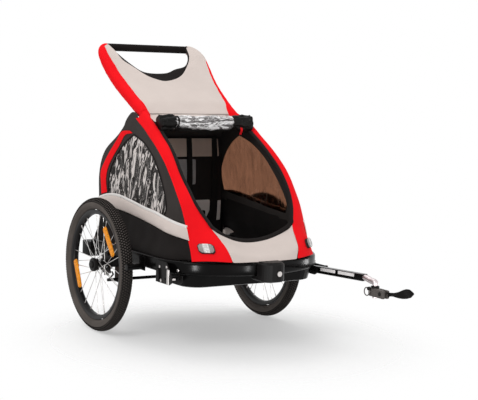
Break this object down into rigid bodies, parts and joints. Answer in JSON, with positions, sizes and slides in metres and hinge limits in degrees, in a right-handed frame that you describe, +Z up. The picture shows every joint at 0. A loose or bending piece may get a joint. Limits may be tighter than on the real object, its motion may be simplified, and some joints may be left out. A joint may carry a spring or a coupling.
{
  "type": "child bike trailer",
  "caption": "Two-seat child bike trailer with a folding frame, fabric cabin with side windows and rolled rain cover, push handle, spoked wheels and an offset tow arm.",
  "frame": {"origin": "on the floor below the middle of the overall box, between the wheels' and the tow arm's ends", "axes": "+Z up, -Y towards the nose and the tow arm's hitch, +X to the trailer's left, along the axle"},
  "size_m": [0.809, 1.3635, 1.0765],
  "materials": {
    "red_cloth": "woven, matt",
    "grey_cloth": "woven, matt",
    "charcoal_cloth": "woven, matt",
    "black_cloth": "woven, matt",
    "tinted_film": "smoked flexible window film",
    "clear_film": "clear flexible film, rolled",
    "black_paint": "satin black coating",
    "black_plastic": "fine grain",
    "tyre_rubber": "matt",
    "rim_black": "satin black",
    "silver": "bright",
    "amber": "prismatic reflector",
    "white_reflector": "prismatic reflector",
    "foam": "soft foam"
  },
  "bodies": {
    "chassis": {"axle": "black_paint", "bumper_band": "black_paint", "rear_bracket_left": "black_plastic", "rear_bracket_right": "black_plastic", "rear_tube": "black_paint", "wheel_guard_left": "black_paint", "wheel_guard_right": "black_paint", "tow_bracket_left": "black_plastic", "tow_bracket_right": "black_plastic", "floor_board": "black_plastic", "footwell_tray": "black_plastic", "wheel_receiver": "black_plastic", "side_wall_left": "charcoal_cloth", "side_wall_right": "charcoal_cloth", "side_window_left": "tinted_film", "side_window_right": "tinted_film", "side_stripe_left": "grey_cloth", "side_stripe_right": "grey_cloth", "rear_strip_left": "red_cloth", "rear_strip_right": "red_cloth", "front_panel": "grey_cloth", "roof_and_back": "charcoal_cloth", "seat_bench": "black_cloth", "seat_back": "black_cloth", "harness_left": "black_cloth", "harness_right": "black_cloth"},
    "main_frame": {"main_hoop": "black_paint", "handle_grip": "foam", "handle_sleeve_left": "red_cloth", "handle_sleeve_right": "red_cloth", "handle_panel": "grey_cloth", "pillar_cover_left": "red_cloth", "pillar_cover_right": "red_cloth", "rain_cover_roll": "clear_film", "corner_reflector_left": "white_reflector", "corner_reflector_right": "white_reflector"},
    "rear_frame": {"rear_hoop": "black_paint"},
    "brake": {"brake_bar": "black_paint"},
    "tow_arm": {"tow_arm_tube": "black_paint", "tow_neck": "silver"},
    "hitch": {"hitch_block": "black_plastic", "rubber_collar": "tyre_rubber", "safety_strap": "black_cloth"},
    "receiver_push": {"receiver_button": "black_plastic"},
    "wheel_left": {"tyre_left": "tyre_rubber", "rim_left": "rim_black", "hub_left": "silver", "wheel_reflector_front_left": "amber", "wheel_reflector_rear_left": "amber"},
    "release_left": {"release_button_left": "black_plastic"},
    "lock_left": {"lock_pin_left": "silver"},
    "wheel_right": {"tyre_right": "tyre_rubber", "rim_right": "rim_black", "hub_right": "silver", "wheel_reflector_front_right": "amber", "wheel_reflector_rear_right": "amber"},
    "release_right": {"release_button_right": "black_plastic"},
    "lock_right": {"lock_pin_right": "silver"}
  },
  "joints": [
    {"name": "wheel_left_spin", "type": "hinge", "parent": "chassis", "child": "wheel_left", "pos_m": [0.372, 0.3302, 0.25], "axis": [1, 0, 0], "continuous": true},
    {"name": "release_left_press", "type": "slide", "parent": "wheel_left", "child": "release_left", "axis": [-1, 0, 0], "range_m": [0, 0.004], "stiffness_N_per_m": 600},
    {"name": "lock_left_pull", "type": "slide", "parent": "chassis", "child": "lock_left", "axis": [1, 0, 0], "range_m": [-0.011, 0.01], "stiffness_N_per_m": 250},
    {"name": "wheel_right_spin", "type": "hinge", "parent": "chassis", "child": "wheel_right", "pos_m": [-0.372, 0.3302, 0.25], "axis": [1, 0, 0], "continuous": true},
    {"name": "release_right_press", "type": "slide", "parent": "wheel_right", "child": "release_right", "axis": [1, 0, 0], "range_m": [0, 0.004], "stiffness_N_per_m": 600},
    {"name": "lock_right_pull", "type": "slide", "parent": "chassis", "child": "lock_right", "axis": [-1, 0, 0], "range_m": [0, 0.021], "stiffness_N_per_m": 250},
    {"name": "tow_arm_fold", "type": "hinge", "parent": "chassis", "child": "tow_arm", "pos_m": [0.305, -0.1098, 0.262], "axis": [1, 0, 0], "range_deg": [0, 152]},
    {"name": "hitch_swivel", "type": "hinge", "parent": "tow_arm", "child": "hitch", "pos_m": [0.305, -0.4778, 0.24], "axis": [0, 0, 1], "range_deg": [-60, 60]},
    {"name": "receiver_press", "type": "slide", "parent": "chassis", "child": "receiver_push", "axis": [0, 1, 0], "range_m": [0, 0.004], "stiffness_N_per_m": 600},
    {"name": "main_frame_fold", "type": "hinge", "parent": "chassis", "child": "main_frame", "pos_m": [0, -0.1248, 0.308], "axis": [-1, 0, 0], "range_deg": [0, 34], "deforming": ["side_wall_left", "side_wall_right", "side_window_left", "side_window_right", "side_stripe_left", "side_stripe_right", "rear_strip_left", "rear_strip_right", "front_panel", "roof_and_back", "seat_back", "harness_left", "harness_right"]},
    {"name": "rear_frame_fold", "type": "hinge", "parent": "chassis", "child": "rear_frame", "pos_m": [0, 0.5002, 0.292], "axis": [1, 0, 0], "range_deg": [0, 80]},
    {"name": "parking_brake", "type": "hinge", "parent": "chassis", "child": "brake", "pos_m": [0, 0.3133, 0.1914], "axis": [-1, 0, 0], "range_deg": [0, 14]}
  ],
  "couplings": [
    {"joint": "rear_frame_fold", "follows": "main_frame_fold", "ratio": 2.3529}
  ]
}
